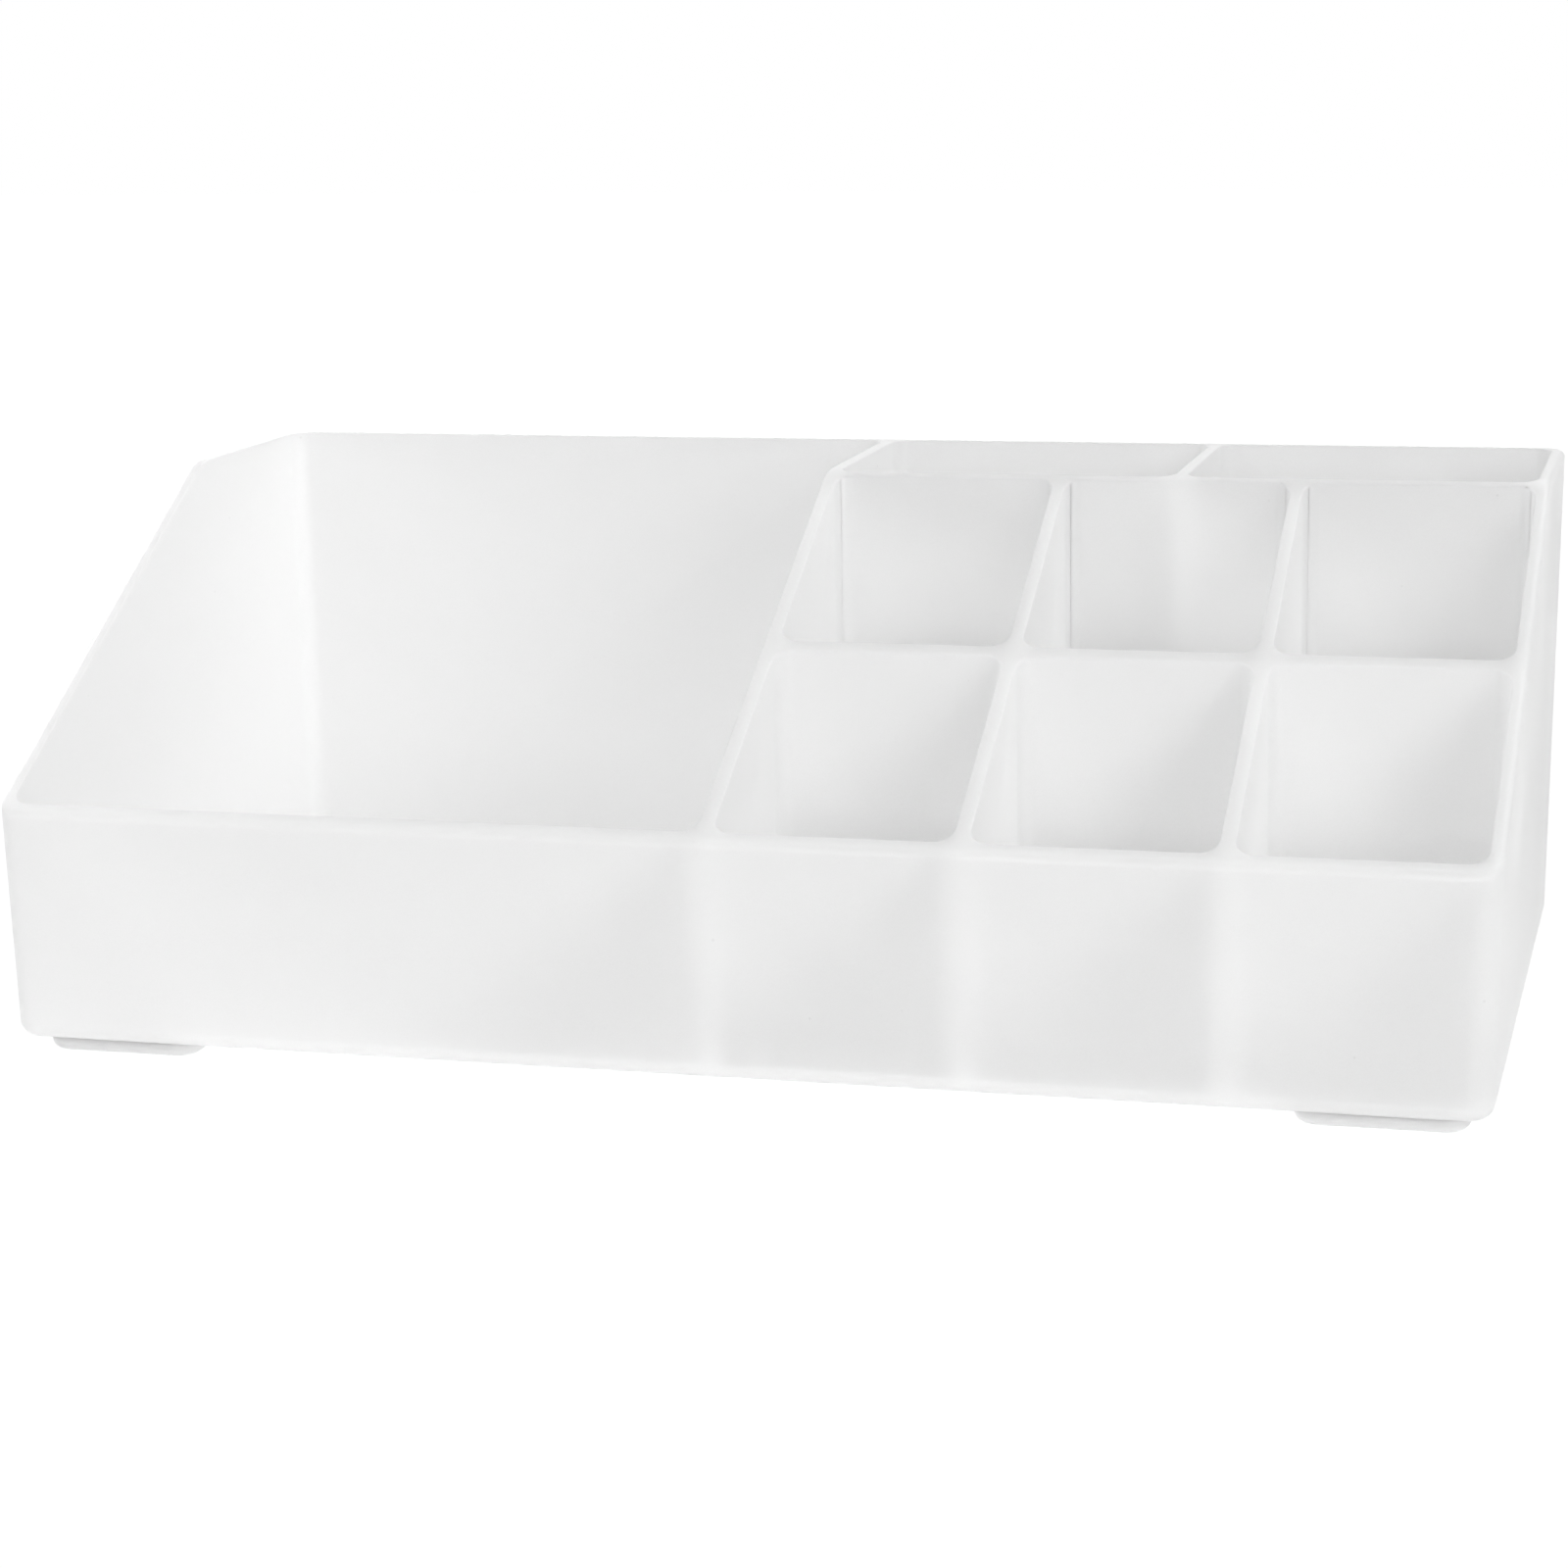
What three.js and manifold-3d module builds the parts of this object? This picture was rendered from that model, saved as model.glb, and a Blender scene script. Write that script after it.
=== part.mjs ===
// A frosted makeup organizer: a tub whose rim slopes down to a low front wall, parted by thin upright
// dividers into one large bay, two rows of small cells and a pair of tall rear slots, on four low feet.
// Millimetres, +Z up. The origin is on the table under the middle of the organizer. The low front
// faces -Y, and the large bay is on the left, towards -X.

import * as THREE from 'three';
import { mergeVertices } from 'three/addons/utils/BufferGeometryUtils.js';
import Module from 'manifold-3d';

const wasm = await Module();
wasm.setup();

// Tub, measured outside
const rimWidth = 300; // at the level of the high rim
const rimDepth = 164; // at the level of the high rim, as if the front wall reached it
const bodyHeight = 104.5; // underside of the floor to the high rim
const frontHeight = 47.5; // underside of the floor to the outer edge of the front rim
const wallDraft = 1; // degrees by which the outer walls lean out
const wall = 2.8;
const floorThickness = 2.8;
const cornerRadius = 5; // upright outer corners
const baseRadius = 3.5; // outer edge round the underside
const rimRadius = 1.5; // outer edge of the rim
const shoulderRadius = 18; // where the sloping rim turns level

// Pockets, measured clear between the walls at the level of the high rim
const bayWidth = 144.6;
const rearSlotDepth = 52;
const cellColumns = 3;
const pocketRadius = 3.6; // upright inner corners, and the flare of a divider into what it meets
const floorFillet = 1.5; // where the walls meet the floor

// Dividers
const dividerThickness = 2.6; // at the level of the high rim
const dividerDraft = 0.25; // degrees by which each face spreads towards the floor
const seam = 0.3; // gap where a divider ends at a wall or at another divider
const flareEdge = 0.5; // thickness left where a flare runs out along a wall

// Feet
const footHeight = 3.5;
const footLength = 33; // along the front
const footDepth = 18;
const footInset = 4.5; // in from the edge of the underside
const footCornerRadius = 5;
const footEdgeRadius = 2;

// Facets of each quarter round, and of the shoulder
const cornerSteps = 6;
const edgeSteps = 4;
const shoulderSteps = 5;

const overshoot = 1; // how far a blank reaches past what trims it

// Levels above the table
const floorUnderside = footHeight;
const floorTop = floorUnderside + floorThickness;
const rimTop = floorUnderside + bodyHeight;
const frontRim = floorUnderside + frontHeight;

// Faces at a height, measured from the middle: the walls lean out and the dividers spread downwards
const wallLean = Math.tan(THREE.MathUtils.degToRad(wallDraft));
const dividerLean = Math.tan(THREE.MathUtils.degToRad(dividerDraft));
const outerX = (z) => rimWidth / 2 - (rimTop - z) * wallLean;
const outerY = (z) => rimDepth / 2 - (rimTop - z) * wallLean;
const innerX = (z) => outerX(z) - wall;
const innerY = (z) => outerY(z) - wall;
const halfDivider = (z) => dividerThickness / 2 + (rimTop - z) * dividerLean;

// Centre lines of the dividers
const mainX = bayWidth + dividerThickness / 2 - innerX(rimTop);
const rightHalf = innerX(rimTop) - mainX + dividerThickness / 2;
const cellPitch = rightHalf / cellColumns;
const rearSlotX = mainX + rightHalf / 2;
const rearCrossY = innerY(rimTop) - rearSlotDepth - dividerThickness / 2;
const crossY = (rearCrossY - innerY(rimTop) - dividerThickness / 2) / 2;

// The rim seen from the side: a slope from the front wall up to the rear cross divider, a round
// shoulder, and a level stretch to the back
const slopeRate = (rimTop - frontRim) / (rearCrossY + outerY(frontRim));
const slopeAngle = Math.atan(slopeRate);
const shoulderBack = rearCrossY + shoulderRadius * Math.tan(slopeAngle / 2);
const shoulderFront = shoulderBack - shoulderRadius * Math.sin(slopeAngle);

function rimHeight(y) {
  if (y >= shoulderBack) return rimTop;
  if (y <= shoulderFront) return rimTop - (rearCrossY - y) * slopeRate;
  return rimTop - shoulderRadius + Math.sqrt(shoulderRadius ** 2 - (shoulderBack - y) ** 2);
}

// Distances from the middle at which the rim's shoulder has a facet edge, front to back
const shoulderStops = Array.from({ length: shoulderSteps + 1 }, (_, step) =>
  shoulderBack - shoulderRadius * Math.sin(slopeAngle * (1 - step / shoulderSteps)));

// Angles of a quarter round, from its start to its end
function quarter(start, steps) {
  return Array.from({ length: steps + 1 }, (_, step) => start + (step / steps) * (Math.PI / 2));
}

// A closed skin over a stack of rings that have the same count of points, each anticlockwise from above
function loft(rings) {
  const count = rings[0].length;
  const index = [];
  for (let ring = 0; ring < rings.length - 1; ring++) {
    for (let point = 0; point < count; point++) {
      const next = (point + 1) % count;
      const lower = ring * count;
      const upper = lower + count;
      index.push(lower + point, lower + next, upper + next);
      index.push(lower + point, upper + next, upper + point);
    }
  }
  const last = (rings.length - 1) * count;
  for (const [a, b, c] of THREE.ShapeUtils.triangulateShape(rings[0], [])) {
    index.push(a, c, b);
  }
  for (const [a, b, c] of THREE.ShapeUtils.triangulateShape(rings.at(-1), [])) {
    index.push(last + a, last + b, last + c);
  }
  const geometry = new THREE.BufferGeometry().setFromPoints(rings.flat());
  geometry.setIndex(index);
  return geometry;
}

// One ring of the tub, set in from its outer faces, at a height that may change from front to back.
// The side walls have extra points where the rim's shoulder bends.
function tubRing(inset, radius, heightAt) {
  const corner = (sideX, sideY, angle) => (z) => new THREE.Vector3(
    sideX * (outerX(z) - inset - radius) + radius * Math.cos(angle),
    sideY * (outerY(z) - inset - radius) + radius * Math.sin(angle),
    z,
  );
  const side = (sideX, y) => (z) => new THREE.Vector3(sideX * (outerX(z) - inset), y, z);
  const turn = (sideX, sideY, start) =>
    quarter(start, cornerSteps).map((angle) => corner(sideX, sideY, angle));
  const stations = [
    ...shoulderStops.map((y) => side(1, y)),
    ...turn(1, 1, 0),
    ...turn(-1, 1, Math.PI / 2),
    ...shoulderStops.toReversed().map((y) => side(-1, y)),
    ...turn(-1, -1, Math.PI),
    ...turn(1, -1, Math.PI * 1.5),
  ];
  return stations.map((station) => {
    // A leaning wall shifts a point as its height is found, so the height is settled in a few rounds
    let point = station(rimTop);
    for (let round = 0; round < 4; round++) {
      point = station(heightAt(point.y));
    }
    return point;
  });
}

// Rings of the hollow inside the tub, from the rim's inner edge down into the fillet round the floor
function pocketRings(gap) {
  const inset = wall + gap;
  return quarter(0, edgeSteps).map((angle) => tubRing(
    inset + floorFillet * (1 - Math.cos(angle)),
    pocketRadius,
    () => floorTop + floorFillet * (1 - Math.sin(angle)),
  ));
}

// The tub is one skin: up the outside from the underside, over the rim and down the inside to the floor
function tubGeometry() {
  const base = quarter(0, edgeSteps).map((angle) => tubRing(
    baseRadius * (1 - Math.sin(angle)),
    cornerRadius - baseRadius * (1 - Math.sin(angle)),
    () => floorUnderside + baseRadius * (1 - Math.cos(angle)),
  ));
  const rim = quarter(0, edgeSteps).map((angle) => tubRing(
    rimRadius * (1 - Math.cos(angle)),
    cornerRadius - rimRadius * (1 - Math.cos(angle)),
    (y) => rimHeight(y) - rimRadius * (1 - Math.sin(angle)),
  ));
  const innerEdge = tubRing(wall, pocketRadius, rimHeight);
  return loft([...base, ...rim, innerEdge, ...pocketRings(0)]);
}

// A closed geometry as a solid that can be cut
function solid(geometry) {
  const bare = geometry.clone();
  bare.deleteAttribute('normal');
  bare.deleteAttribute('uv');
  const merged = mergeVertices(bare, 1e-5);
  return new wasm.Manifold(new wasm.Mesh({
    numProp: 3,
    vertProperties: merged.attributes.position.array,
    triVerts: new Uint32Array(merged.index.array),
  }));
}

function geometryOf(manifold) {
  const mesh = manifold.getMesh();
  const geometry = new THREE.BufferGeometry();
  geometry.setAttribute('position', new THREE.BufferAttribute(mesh.vertProperties, mesh.numProp));
  geometry.setIndex(new THREE.BufferAttribute(mesh.triVerts, 1));
  return geometry;
}

// The space under the rim, reaching past the tub on every side
function underRim() {
  const back = outerY(rimTop) + overshoot;
  const front = -back;
  const outline = new THREE.Shape([
    new THREE.Vector2(front, 0),
    new THREE.Vector2(back, 0),
    ...[back, ...shoulderStops.toReversed(), front].map((y) => new THREE.Vector2(y, rimHeight(y))),
  ]);
  const prism = new THREE.ExtrudeGeometry(outline, { depth: rimWidth * 2, bevelEnabled: false });
  // The outline's own axes turn to +Y and +Z, and the extrusion to +X
  prism.rotateX(Math.PI / 2).rotateZ(Math.PI / 2).translate(-rimWidth, 0, 0);
  return solid(prism);
}

// The room that the dividers may fill: inside the walls by a seam, on the floor and under the rim
function dividerRoom() {
  const top = tubRing(wall + seam, pocketRadius, () => rimTop + overshoot);
  const hollow = loft([...pocketRings(seam).toReversed(), top]);
  return solid(hollow).intersect(underRim());
}

// Where a divider ends, at a height: the place along its length, and the straight lip before its flare.
// At a tub wall the blank runs on into the wall, and the divider room trims it.
const atWall = (face, outwards) => (z) => ({
  place: outwards * (face(z) + overshoot),
  lip: overshoot + seam + flareEdge,
});
const atDivider = (centre, side) => (z) => ({
  place: centre + side * (halfDivider(z) + seam),
  lip: flareEdge,
});

// Plan of a divider at a height: a strip that widens by a hollow quarter round at both ends
function flaredStrip(low, high, half) {
  const wide = half + pocketRadius;
  const lowFlare = low.place + low.lip + pocketRadius;
  const highFlare = high.place - high.lip - pocketRadius;
  const round = (u, side, start) => quarter(start, cornerSteps).map((angle) => new THREE.Vector2(
    u + pocketRadius * Math.cos(angle),
    side * wide + pocketRadius * Math.sin(angle),
  ));
  return [
    new THREE.Vector2(low.place, -wide),
    ...round(lowFlare, -1, Math.PI / 2).toReversed(),
    ...round(highFlare, -1, 0).toReversed(),
    new THREE.Vector2(high.place, -wide),
    new THREE.Vector2(high.place, wide),
    ...round(highFlare, 1, Math.PI * 1.5).toReversed(),
    ...round(lowFlare, 1, Math.PI).toReversed(),
    new THREE.Vector2(low.place, wide),
  ];
}

// A divider on a centre line, running along X or along Y between two ends
function dividerGeometry(room, along, centre, low, high) {
  const rings = [floorTop - overshoot, rimTop + overshoot].map((z) => {
    const strip = flaredStrip(low(z), high(z), halfDivider(z));
    return strip.map(({ x: u, y: v }) => (along === 'x'
      ? new THREE.Vector3(u, centre + v, z)
      : new THREE.Vector3(centre - v, u, z)));
  });
  return geometryOf(solid(loft(rings)).intersect(room));
}

// A foot as a pad with round corners and a rounded lower edge, its middle over the origin
function footGeometry() {
  const ring = (inset, z) => {
    const radius = footCornerRadius - inset;
    const reachX = footLength / 2 - footCornerRadius;
    const reachY = footDepth / 2 - footCornerRadius;
    const turn = (sideX, sideY, start) => quarter(start, cornerSteps).map((angle) => new THREE.Vector3(
      sideX * reachX + radius * Math.cos(angle),
      sideY * reachY + radius * Math.sin(angle),
      z,
    ));
    return [
      ...turn(1, 1, 0),
      ...turn(-1, 1, Math.PI / 2),
      ...turn(-1, -1, Math.PI),
      ...turn(1, -1, Math.PI * 1.5),
    ];
  };
  const edge = quarter(0, edgeSteps).map((angle) =>
    ring(footEdgeRadius * (1 - Math.sin(angle)), footEdgeRadius * (1 - Math.cos(angle))));
  return loft([...edge, ring(0, footHeight)]);
}

const frosted = { color: 0xf1f3f3, roughness: 0.42, metalness: 0 };

function piece(name, geometry) {
  geometry.computeVertexNormals();
  const mesh = new THREE.Mesh(geometry, new THREE.MeshStandardMaterial(frosted));
  mesh.name = name;
  return mesh;
}

const organizer = new THREE.Group();
organizer.add(piece('tub', tubGeometry()));

const room = dividerRoom();
const atFront = atWall(innerY, -1);
const atBack = atWall(innerY, 1);
const atRight = atWall(innerX, 1);

organizer.add(piece('main_divider', dividerGeometry(room, 'y', mainX, atFront, atBack)));
organizer.add(piece(
  'rear_cross_divider',
  dividerGeometry(room, 'x', rearCrossY, atDivider(mainX, 1), atRight),
));
organizer.add(piece(
  'rear_slot_divider',
  dividerGeometry(room, 'y', rearSlotX, atDivider(rearCrossY, 1), atBack),
));

for (let column = 1; column <= cellColumns; column++) {
  const leftX = mainX + (column - 1) * cellPitch;
  const rightX = mainX + column * cellPitch;
  const atLeftEnd = atDivider(leftX, 1);
  const atRightEnd = column < cellColumns ? atDivider(rightX, -1) : atRight;
  organizer.add(piece(
    `cross_divider_${column}`,
    dividerGeometry(room, 'x', crossY, atLeftEnd, atRightEnd),
  ));
  if (column < cellColumns) {
    organizer.add(piece(
      `cell_divider_${column}`,
      dividerGeometry(room, 'y', rightX, atFront, atDivider(rearCrossY, -1)),
    ));
  }
}

const footX = outerX(floorUnderside) - footInset - footLength / 2;
const footY = outerY(floorUnderside) - footInset - footDepth / 2;
for (const [sideName, sideX] of [['left', -1], ['right', 1]]) {
  for (const [endName, sideY] of [['front', -1], ['rear', 1]]) {
    const foot = piece(`foot_${endName}_${sideName}`, footGeometry());
    foot.position.set(sideX * footX, sideY * footY, 0);
    organizer.add(foot);
  }
}

// The front wall is low, so it leans out less far than the back wall: the origin goes half way between
organizer.position.y = (outerY(frontRim - rimRadius) - outerY(rimTop - rimRadius)) / 2;

export default organizer;
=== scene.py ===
import math

import bmesh
import bpy
from mathutils import Matrix, Vector


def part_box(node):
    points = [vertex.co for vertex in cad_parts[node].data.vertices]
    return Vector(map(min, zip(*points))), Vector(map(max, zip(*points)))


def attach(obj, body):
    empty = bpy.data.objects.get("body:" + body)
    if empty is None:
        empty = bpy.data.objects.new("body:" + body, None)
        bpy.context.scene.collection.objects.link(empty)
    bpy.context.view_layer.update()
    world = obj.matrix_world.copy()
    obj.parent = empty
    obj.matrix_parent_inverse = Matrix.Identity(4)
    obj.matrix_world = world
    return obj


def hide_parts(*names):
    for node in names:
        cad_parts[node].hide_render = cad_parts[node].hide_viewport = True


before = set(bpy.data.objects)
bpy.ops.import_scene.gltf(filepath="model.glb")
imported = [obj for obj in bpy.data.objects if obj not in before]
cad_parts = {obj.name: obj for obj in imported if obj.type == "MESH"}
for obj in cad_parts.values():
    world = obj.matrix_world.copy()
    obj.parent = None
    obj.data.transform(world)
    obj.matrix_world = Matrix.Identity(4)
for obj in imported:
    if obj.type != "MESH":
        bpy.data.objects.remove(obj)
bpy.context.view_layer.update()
scene = bpy.context.scene
scene.view_settings.view_transform = "Standard"
print("frame loaded:", len(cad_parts), "nodes")

mm = 0.001
smoothAngle = math.radians(30)

# limits for picking edges and faces by place or normal
picking = {
    "samePlace": 1e-6,
    "slice": 1e-7,
    "uprightEdge": 1 * mm,  # least rise of an upright edge
    "lookingDown": -0.9,  # z of the normal
    "lookingSideways": 0.1,
    "lookingUp": 0.8,
    "levelAcross": 0.001,  # x of the normal on the rim
    "rimSlack": 1 * mm,
    "wallSlack": 0.3 * mm,
    "hollowAngle": -1,  # radians, where two faces meet in a hollow
}

# the tub and its dividers, which are one moulding with no seams
moulding = {
    "rimWidth": 300 * mm,  # outside, at the high rim
    "rimDepth": 164 * mm,
    "height": 104.5 * mm,  # underside to high rim
    "frontHeight": 47.5 * mm,
    "wallLean": math.tan(math.radians(1.0)),
    "wall": 2.8 * mm,
    "floor": 2.8 * mm,
    "footHeight": 3.5 * mm,
    "cornerRadius": 5 * mm,
    "baseRadius": 3.5 * mm,
    "rimRadius": 1.5 * mm,
    "lipRadius": 0.35 * mm,  # edges of the pockets at the top
    "shoulderRadius": 18 * mm,
    "bayWidth": 144.6 * mm,
    "slotDepth": 52 * mm,
    "columns": 3,
    "divider": 2.6 * mm,  # thickness at the high rim
    "dividerLean": math.tan(math.radians(0.25)),
    "pocketRadius": 3.6 * mm,
    "floorFillet": 1.5 * mm,
    "cornerSteps": 10,
    "pocketSteps": 8,
    "edgeSteps": 6,
    "lipSteps": 3,
    "shoulderSteps": 8,
    "loopGap": 2.2 * mm,  # from a pocket's round corner to the next edge loop
    "spare": 12 * mm,  # height that is trimmed off again
}
underside = moulding["footHeight"]
floorTop = underside + moulding["floor"]
rimTop = underside + moulding["height"]
frontRim = underside + moulding["frontHeight"]


def outerX(z):
    return moulding["rimWidth"] / 2 - (rimTop - z) * moulding["wallLean"]


def outerY(z):
    return moulding["rimDepth"] / 2 - (rimTop - z) * moulding["wallLean"]


def innerX(z):
    return outerX(z) - moulding["wall"]


def innerY(z):
    return outerY(z) - moulding["wall"]


def halfDivider(z):
    return moulding["divider"] / 2 + (rimTop - z) * moulding["dividerLean"]


# centre lines of the dividers, and the shift that centres the whole on the table
mainX = moulding["bayWidth"] + moulding["divider"] / 2 - innerX(rimTop)
rightHalf = innerX(rimTop) - mainX + moulding["divider"] / 2
cellPitch = rightHalf / moulding["columns"]
slotX = mainX + rightHalf / 2
rearY = innerY(rimTop) - moulding["slotDepth"] - moulding["divider"] / 2
crossY = (rearY - innerY(rimTop) - moulding["divider"] / 2) / 2
shiftY = (outerY(frontRim) - outerY(rimTop)) / 2
slopeAngle = math.atan2(rimTop - frontRim, rearY + outerY(frontRim))


def onlyThis(obj):
    if bpy.context.object and bpy.context.object.mode != "OBJECT":
        bpy.ops.object.mode_set(mode="OBJECT")
    bpy.ops.object.select_all(action="DESELECT")
    if obj:
        obj.select_set(True)
        bpy.context.view_layer.objects.active = obj


def pick(obj, kind, wanted):
    # edit mode, with only the wanted vertices, edges or faces selected
    onlyThis(obj)
    bpy.ops.object.mode_set(mode="EDIT")
    bpy.ops.mesh.select_mode(type=kind)
    bpy.ops.mesh.select_all(action="DESELECT")
    mesh = bmesh.from_edit_mesh(obj.data)
    for item in {"VERT": mesh.verts, "EDGE": mesh.edges, "FACE": mesh.faces}[kind]:
        item.select_set(wanted(item))
    mesh.select_flush_mode()
    bmesh.update_edit_mesh(obj.data)


def isUpright(edge):
    return abs(edge.verts[0].co.z - edge.verts[1].co.z) > picking["uprightEdge"]


def leaningBox(name, lowSides, highSides, lowZ, highZ):
    # a cube at its place and size; its lower face may have sides of its own
    onlyThis(None)
    left, right, front, back = highSides
    width, depth = right - left, back - front
    bpy.ops.mesh.primitive_cube_add(
        size=1, location=((left + right) / 2, (front + back) / 2, (lowZ + highZ) / 2),
        scale=(width, depth, highZ - lowZ))
    box = bpy.context.object
    box.name = name
    bpy.ops.object.transform_apply(location=True, rotation=True, scale=True)
    if lowSides:
        lowLeft, lowRight, lowFront, lowBack = lowSides
        pick(box, "FACE", lambda face: face.normal.z < picking["lookingDown"])
        bpy.ops.transform.resize(
            value=((lowRight - lowLeft) / width, (lowBack - lowFront) / depth, 1))
        bpy.ops.transform.translate(
            value=((lowLeft + lowRight - left - right) / 2,
                   (lowFront + lowBack - front - back) / 2, 0))
    onlyThis(box)
    return box


def roundBox(box, uprightRadius, uprightSteps, lowerRadius, lowerSteps):
    lowZ = min(vert.co.z for vert in box.data.vertices)

    def isLowest(edge):
        return all(abs(vert.co.z - lowZ) < picking["samePlace"] for vert in edge.verts)

    pick(box, "EDGE", isUpright)
    bpy.ops.mesh.bevel(offset=uprightRadius, segments=uprightSteps, affect="EDGES")
    pick(box, "EDGE", isLowest)
    bpy.ops.mesh.bevel(offset=lowerRadius, segments=lowerSteps, affect="EDGES")
    onlyThis(box)


def carve(obj, cutter):
    onlyThis(obj)
    step = obj.modifiers.new("carve", "BOOLEAN")
    step.operation = "DIFFERENCE"
    step.object = cutter
    bpy.ops.object.modifier_apply(modifier=step.name)
    bpy.data.objects.remove(cutter)


def slicePlane(obj, point, normal, trim=False):
    # new edges where the plane crosses; trim also takes off what is beyond it and closes the cut
    pick(obj, "VERT", lambda vert: True)
    bpy.ops.mesh.bisect(plane_co=point, plane_no=normal, use_fill=trim, clear_outer=trim,
                        threshold=picking["slice"])
    onlyThis(obj)


def copyOf(obj, name):
    twin = obj.copy()
    twin.data = obj.data.copy()
    twin.name = twin.data.name = name
    scene.collection.objects.link(twin)
    return twin


# sides of the pockets as functions of height
def wallLeft(z):
    return -innerX(z)


def wallRight(z):
    return innerX(z)


def wallFront(z):
    return -innerY(z) + shiftY


def wallBack(z):
    return innerY(z) + shiftY


def sideOf(centre, side, shift=0.0):
    return lambda z: centre + shift + side * halfDivider(z)


def pocket(name, left, right, front, back):
    lowZ, highZ = floorTop, rimTop + 2 * moulding["spare"]
    sides = [[face(z) for face in (left, right, front, back)] for z in (lowZ, highZ)]
    box = leaningBox(name, sides[0], sides[1], lowZ, highZ)
    roundBox(box, moulding["pocketRadius"], moulding["pocketSteps"],
             moulding["floorFillet"], moulding["edgeSteps"])
    return box


def makeBlock():
    highZ = rimTop + moulding["spare"]
    sides = [(-outerX(z), outerX(z), shiftY - outerY(z), shiftY + outerY(z))
             for z in (underside, highZ)]
    block = leaningBox("mouldedBody", sides[0], sides[1], underside, highZ)
    roundBox(block, moulding["cornerRadius"], moulding["cornerSteps"],
             moulding["baseRadius"], moulding["edgeSteps"])
    # the rim: level at the back, a round shoulder, then the slope to the front
    radius = moulding["shoulderRadius"]
    shoulder = Vector((0, rearY + shiftY + radius * math.tan(slopeAngle / 2), rimTop - radius))
    for step in range(moulding["shoulderSteps"] + 1):
        angle = slopeAngle * step / moulding["shoulderSteps"]
        normal = Vector((0, -math.sin(angle), math.cos(angle)))
        slicePlane(block, shoulder + normal * radius, normal, trim=True)
    # edge loops beside each divider, so that no pocket opens in the middle of a face
    reach = moulding["pocketRadius"] + moulding["loopGap"]
    centres = [mainX, slotX]
    centres += [mainX + column * cellPitch for column in range(1, moulding["columns"])]
    across = [centre + side * reach for centre in centres for side in (-1, 1)]
    across += [side * (outerX(rimTop) - 2 * reach) for side in (-1, 1)]
    along = [centre + side * reach for centre in (rearY, crossY) for side in (-1, 1)]
    along += [side * (outerY(rimTop) - 2 * reach) for side in (-1, 1)]
    for x in across:
        slicePlane(block, (x, 0, 0), (1, 0, 0))
    for y in along:
        slicePlane(block, (0, y + shiftY, 0), (0, 1, 0))
    return block


def makeMoulding():
    block = makeBlock()
    behind, before = sideOf(rearY, 1, shiftY), sideOf(rearY, -1, shiftY)
    rowBehind, rowBefore = sideOf(crossY, 1, shiftY), sideOf(crossY, -1, shiftY)
    pockets = [
        pocket("bay", wallLeft, sideOf(mainX, -1), wallFront, wallBack),
        pocket("slotLeft", sideOf(mainX, 1), sideOf(slotX, -1), behind, wallBack),
        pocket("slotRight", sideOf(slotX, 1), wallRight, behind, wallBack),
    ]
    for column in range(moulding["columns"]):
        left = sideOf(mainX + column * cellPitch, 1)
        last = column == moulding["columns"] - 1
        right = wallRight if last else sideOf(mainX + (column + 1) * cellPitch, -1)
        pockets.append(pocket("cellFront", left, right, wallFront, rowBefore))
        pockets.append(pocket("cellRear", left, right, rowBehind, before))
    for cutter in pockets:
        carve(block, cutter)
    return block


def onRim(face):
    looksUp = face.normal.z > picking["lookingUp"]
    levelAcross = abs(face.normal.x) < picking["levelAcross"]
    isHigh = face.calc_center_median().z > frontRim - picking["rimSlack"]
    return looksUp and levelAcross and isHigh


def rimEdges(outside):
    def wanted(edge):
        if [onRim(face) for face in edge.link_faces].count(True) != 1:
            return False
        middle = (edge.verts[0].co + edge.verts[1].co) / 2
        beyondX = abs(middle.x) > innerX(middle.z) + picking["wallSlack"]
        beyondY = abs(middle.y - shiftY) > innerY(middle.z) + picking["wallSlack"]
        return (beyondX or beyondY) == outside
    return wanted


def roundRim(block):
    pick(block, "EDGE", rimEdges(True))
    bpy.ops.mesh.bevel(
        offset=moulding["rimRadius"], segments=moulding["edgeSteps"], affect="EDGES")
    pick(block, "EDGE", rimEdges(False))
    bpy.ops.mesh.bevel(
        offset=moulding["lipRadius"], segments=moulding["lipSteps"], affect="EDGES")
    onlyThis(block)


body = makeMoulding()
roundRim(body)
print("body moulded:", len(body.data.polygons), "faces")

# low corner feet, with a hollow curve where they leave the underside
foot = {
    "uprightRadius": 5 * mm,
    "lowerRadius": 2.2 * mm,
    "flare": 0.8 * mm,
    "lip": 0.05 * mm,
    "steps": 8,
}


def makeFoot(name, low, high):
    pad = leaningBox(name, None, (low.x, high.x, low.y, high.y), low.z, high.z)
    roundBox(pad, foot["uprightRadius"], foot["steps"], foot["lowerRadius"], foot["steps"])
    # a thin lip pulled out at the top, then its inner corner filled with a hollow round
    lipZ = high.z - foot["lip"]

    def onLip(face):
        sideways = abs(face.normal.z) < picking["lookingSideways"]
        return sideways and face.calc_center_median().z > lipZ

    def isHollow(edge):
        return edge.is_manifold and edge.calc_face_angle_signed() < picking["hollowAngle"]

    slicePlane(pad, (0, 0, lipZ), (0, 0, 1))
    pick(pad, "FACE", onLip)
    bpy.ops.mesh.extrude_region_shrink_fatten(
        TRANSFORM_OT_shrink_fatten={"value": foot["flare"] + foot["lip"]})
    pick(pad, "EDGE", isHollow)
    bpy.ops.mesh.bevel(offset=foot["flare"], segments=foot["steps"], affect="EDGES")
    onlyThis(pad)
    return pad


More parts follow.
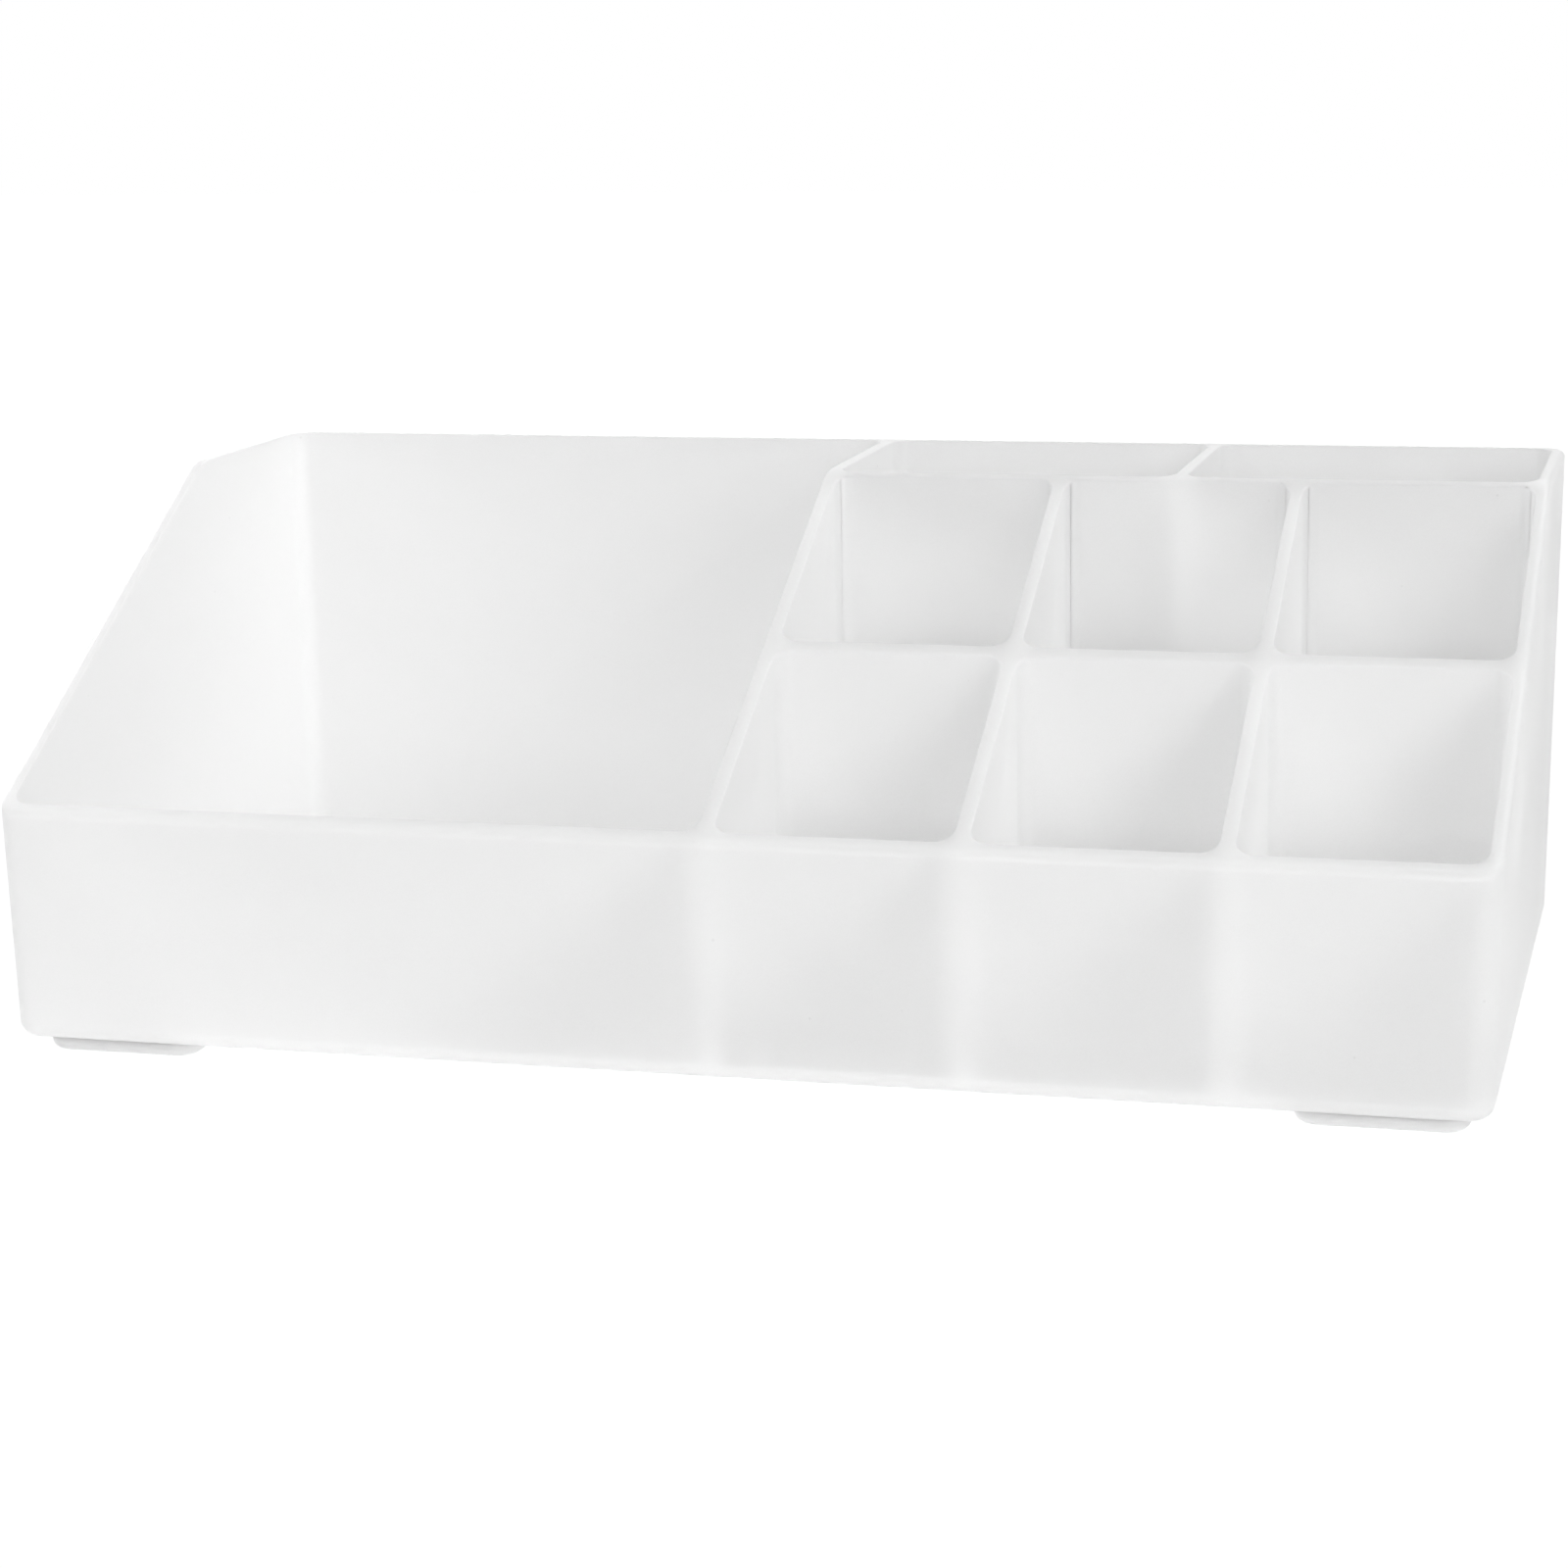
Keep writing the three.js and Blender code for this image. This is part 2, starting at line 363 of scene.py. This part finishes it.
footNodes = ["foot_front_left", "foot_front_right", "foot_rear_left", "foot_rear_right"]
feet = []
firstLow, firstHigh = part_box(footNodes[0])
firstFoot = makeFoot("footFrontLeft", firstLow, firstHigh)
for node in footNodes:
    words = node.split("_")
    name = words[0] + "".join(word.capitalize() for word in words[1:])
    piece = firstFoot if node == footNodes[0] else copyOf(firstFoot, name)
    piece.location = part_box(node)[0] - firstLow
    onlyThis(piece)
    bpy.ops.object.transform_apply(location=True, rotation=True, scale=True)
    feet.append(piece)
print("feet made:", len(feet))

# frosted polypropylene: light soaks in and spreads through the walls
frosted = {
    "colour": 0.992,
    "roughness": 0.42,
    "index": 1.45,
    "soak": 36 * mm,
    "footSoak": 17 * mm,  # the small feet let less light through
    # noises: size of a patch, detail, harshness
    "cloud": (26 * mm, 4, 0.55),
    "dust": (0.22 * mm, 2, 0.5),
    "rub": (17 * mm, 5, 0.6),
    "wave": (38 * mm, 2, 0.4),
    "grain": (0.22 * mm, 3, 0.6),
    "noiseSpan": (0.3, 0.7),  # values that noises are stretched from
    "rubSpan": (0.25, 0.75),
    "cloudDip": 0.012,
    "dustDip": 0.03,
    "rubSpread": 0.08,
    "waveDepth": 0.05 * mm,
    "grainDepth": 0.006 * mm,
    "speckSpacing": 14 * mm,
    "speckSpan": (0.012, 0.03),  # core and edge, as shares of the spacing
    "speckDip": 0.10,
}


def frostedPlastic(name, soak):
    material = bpy.data.materials.new(name)
    material.use_nodes = True
    nodes, links = material.node_tree.nodes, material.node_tree.links
    shader = nodes["Principled BSDF"]
    shader.inputs["Subsurface Weight"].default_value = 1.0
    shader.inputs["Subsurface Radius"].default_value = (1, 1, 1)
    shader.inputs["Subsurface Scale"].default_value = soak
    shader.inputs["IOR"].default_value = frosted["index"]
    place = nodes.new("ShaderNodeTexCoord")

    def noise(patch, detail, harshness):
        node = nodes.new("ShaderNodeTexNoise")
        node.inputs["Scale"].default_value = 1 / patch
        node.inputs["Detail"].default_value = detail
        node.inputs["Roughness"].default_value = harshness
        links.new(place.outputs["Object"], node.inputs["Vector"])
        return node.outputs["Fac"]

    def stretch(value, span, toLow, toHigh):
        node = nodes.new("ShaderNodeMapRange")
        node.inputs["From Min"].default_value = span[0]
        node.inputs["From Max"].default_value = span[1]
        node.inputs["To Min"].default_value = toLow
        node.inputs["To Max"].default_value = toHigh
        links.new(value, node.inputs["Value"])
        return node.outputs["Result"]

    def times(first, second):
        node = nodes.new("ShaderNodeMath")
        node.operation = "MULTIPLY"
        links.new(first, node.inputs[0])
        links.new(second, node.inputs[1])
        return node.outputs["Value"]

    def bump(height, depth):
        node = nodes.new("ShaderNodeBump")
        node.inputs["Distance"].default_value = depth
        links.new(height, node.inputs["Height"])
        return node

    # faint clouding of the resin, a few dark specks in it, and dust in the grain
    colour, roughness = frosted["colour"], frosted["roughness"]
    cloud = stretch(noise(*frosted["cloud"]), frosted["noiseSpan"],
                    colour - frosted["cloudDip"], colour)
    specks = nodes.new("ShaderNodeTexVoronoi")
    specks.inputs["Scale"].default_value = 1 / frosted["speckSpacing"]
    links.new(place.outputs["Object"], specks.inputs["Vector"])
    speck = stretch(specks.outputs["Distance"], frosted["speckSpan"], 1 - frosted["speckDip"], 1)
    dust = stretch(noise(*frosted["dust"]), frosted["noiseSpan"], 1 - frosted["dustDip"], 1)
    shade = times(times(cloud, speck), dust)
    tone = nodes.new("ShaderNodeCombineColor")
    for channel in ("Red", "Green", "Blue"):
        links.new(shade, tone.inputs[channel])
    links.new(tone.outputs["Color"], shader.inputs["Base Color"])

    # the frosting: patches rubbed a little smoother, slight waves and a fine grain
    rub = stretch(noise(*frosted["rub"]), frosted["rubSpan"],
                  roughness - frosted["rubSpread"], roughness + frosted["rubSpread"])
    links.new(rub, shader.inputs["Roughness"])
    wave = bump(noise(*frosted["wave"]), frosted["waveDepth"])
    grain = bump(noise(*frosted["grain"]), frosted["grainDepth"])
    links.new(wave.outputs["Normal"], grain.inputs["Normal"])
    links.new(grain.outputs["Normal"], shader.inputs["Normal"])
    return material


bodyPlastic = frostedPlastic("frostedPlastic", frosted["soak"])
footPlastic = frostedPlastic("frostedFoot", frosted["footSoak"])
for piece in [body] + feet:
    piece.data.materials.clear()
    piece.data.materials.append(bodyPlastic if piece == body else footPlastic)
    onlyThis(piece)
    bpy.ops.object.shade_smooth_by_angle(angle=smoothAngle)
    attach(piece, "root")
mouldedNodes = [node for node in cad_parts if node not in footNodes]
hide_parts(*mouldedNodes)
for piece, node in zip(feet, footNodes):
    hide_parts(node)
print("plastic on", 1 + len(feet), "pieces for", len(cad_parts), "nodes")

# white table top, lit a little from below, that turns pure white away from the tray's shadow
table = {
    "side": 6.0,
    "colour": 0.93,
    "roughness": 0.9,
    "glow": 0.12,
    "white": 1.06,
    "nearShare": 0.78,  # how much of the pure white shows beside the tray
    "nearEdge": 0.22,
    "farEdge": 0.75,
}


def seenDirectly(nodes, links):
    # 1 for what the camera sees straight, mirrored or through the plastic
    path = nodes.new("ShaderNodeLightPath")
    first, second = nodes.new("ShaderNodeMath"), nodes.new("ShaderNodeMath")
    first.operation = second.operation = "MAXIMUM"
    links.new(path.outputs["Is Camera Ray"], first.inputs[0])
    links.new(path.outputs["Is Glossy Ray"], first.inputs[1])
    links.new(first.outputs["Value"], second.inputs[0])
    links.new(path.outputs["Is Transmission Ray"], second.inputs[1])
    return second.outputs["Value"]


def makeTable():
    onlyThis(None)
    bpy.ops.mesh.primitive_plane_add(size=table["side"], location=(0, 0, 0))
    top = bpy.context.object
    top.name = "tableTop"
    material = bpy.data.materials.new("whiteTable")
    material.use_nodes = True
    nodes, links = material.node_tree.nodes, material.node_tree.links
    shader = nodes["Principled BSDF"]
    shader.inputs["Base Color"].default_value = [table["colour"]] * 3 + [1]
    shader.inputs["Roughness"].default_value = table["roughness"]
    shader.inputs["Emission Color"].default_value = (1, 1, 1, 1)
    shader.inputs["Emission Strength"].default_value = table["glow"]
    glow = nodes.new("ShaderNodeEmission")
    glow.inputs["Strength"].default_value = table["white"]
    # the share of pure white grows with the distance from the tray
    place = nodes.new("ShaderNodeTexCoord")
    reach = nodes.new("ShaderNodeVectorMath")
    reach.operation = "LENGTH"
    links.new(place.outputs["Object"], reach.inputs[0])
    fade = nodes.new("ShaderNodeMapRange")
    fade.inputs["From Min"].default_value = table["nearEdge"]
    fade.inputs["From Max"].default_value = table["farEdge"]
    fade.inputs["To Min"].default_value = table["nearShare"]
    fade.inputs["To Max"].default_value = 1.0
    links.new(reach.outputs["Value"], fade.inputs["Value"])
    share = nodes.new("ShaderNodeMath")
    share.operation = "MULTIPLY"
    links.new(seenDirectly(nodes, links), share.inputs[0])
    links.new(fade.outputs["Result"], share.inputs[1])
    mix = nodes.new("ShaderNodeMixShader")
    links.new(share.outputs["Value"], mix.inputs["Fac"])
    links.new(shader.outputs["BSDF"], mix.inputs[1])
    links.new(glow.outputs["Emission"], mix.inputs[2])
    links.new(mix.outputs["Shader"], nodes["Material Output"].inputs["Surface"])
    top.data.materials.append(material)


def makeSurroundings(fill):
    world = bpy.data.worlds.new("studio")
    scene.world = world
    world.use_nodes = True
    nodes, links = world.node_tree.nodes, world.node_tree.links
    dim = nodes["Background"]
    dim.inputs["Color"].default_value = (1, 1, 1, 1)
    dim.inputs["Strength"].default_value = fill
    white = nodes.new("ShaderNodeBackground")
    white.inputs["Color"].default_value = (1, 1, 1, 1)
    mix = nodes.new("ShaderNodeMixShader")
    links.new(seenDirectly(nodes, links), mix.inputs["Fac"])
    links.new(dim.outputs["Background"], mix.inputs[1])
    links.new(white.outputs["Background"], mix.inputs[2])
    links.new(mix.outputs["Shader"], nodes["World Output"].inputs["Surface"])


# softboxes, wider than high
studio = {
    "fill": 0.01,
    "bounces": 24,
    "spareBounces": 8,
    "width": 0.56,  # of the distance
    "height": 0.24,
    "aim": Vector((0, 0, 50 * mm)),
    # turn from the front towards the right, height angle, distance, watts
    "lamps": {
        "front": (0, 13, 1.25, 4.2),
        "frontRight": (45, 18, 1.25, 4.5),
        "right": (90, 40, 1.25, 2.9),
        "rightBack": (130, 48, 1.25, 2.3),
        "back": (180, 32, 1.25, 1.65),
        "backLeftNear": (213, 12, 0.47, 0.17),
        "leftBackNear": (248, 14, 0.42, 0.26),
        "leftNear": (270, 45, 0.6, 0.56),
        "leftFrontNear": (315, 25, 0.47, 0.18),
        "top": (0, 85, 1.25, 2.7),
    },
}


def towards(turn, rise):
    level = math.cos(rise)
    return Vector((math.sin(turn) * level, -math.cos(turn) * level, math.sin(rise)))


def makeSoftbox(name, turn, rise, distance, watts):
    away = towards(math.radians(turn), math.radians(rise))
    lamp = bpy.data.lights.new(name, "AREA")
    lamp.shape = "RECTANGLE"
    lamp.size, lamp.size_y = studio["width"] * distance, studio["height"] * distance
    lamp.energy = watts
    box = bpy.data.objects.new(name, lamp)
    box.location = studio["aim"] + away * distance
    box.rotation_euler = (-away).to_track_quat("-Z", "Y").to_euler()
    box.visible_camera = False
    scene.collection.objects.link(box)


# light goes back and forth many times in the cells before it dies out
scene.cycles.max_bounces = studio["bounces"] + studio["spareBounces"]
scene.cycles.diffuse_bounces = studio["bounces"]
scene.cycles.transmission_bounces = studio["bounces"]
makeTable()
makeSurroundings(studio["fill"])
for name, settings in studio["lamps"].items():
    makeSoftbox(name, *settings)
print("studio lit by", len(studio["lamps"]), "softboxes")

# the photograph's point of view, for a square image
view = {
    "turn": math.radians(15.1473),  # to the right of straight ahead
    "rise": math.radians(12.3835),
    "tilt": math.radians(-1.1324),
    "distance": 767.6975 * mm,
    "aim": Vector((-6.5473 * mm, 0, 44.4533 * mm)),
    "lens": 83.082,
    "sensor": 36,
    "nearest": 0.01,
    "farthest": 20,
}


def makeCamera():
    turn, tilt = view["turn"], view["tilt"]
    back = towards(turn, view["rise"])
    right = Vector((math.cos(turn), math.sin(turn), 0))
    up = back.cross(right)
    sideways = math.cos(tilt) * right + math.sin(tilt) * up
    upwards = math.cos(tilt) * up - math.sin(tilt) * right
    data = bpy.data.cameras.new("photoView")
    data.lens = view["lens"]
    data.sensor_width = view["sensor"]
    data.clip_start = view["nearest"]
    data.clip_end = view["farthest"]
    camera = bpy.data.objects.new("photoView", data)
    turned = Matrix((sideways, upwards, back)).transposed().to_4x4()
    camera.matrix_world = Matrix.Translation(view["aim"] + back * view["distance"]) @ turned
    scene.collection.objects.link(camera)
    scene.camera = camera


makeCamera()
print("camera set")

bpy.ops.object.select_all(action="DESELECT")
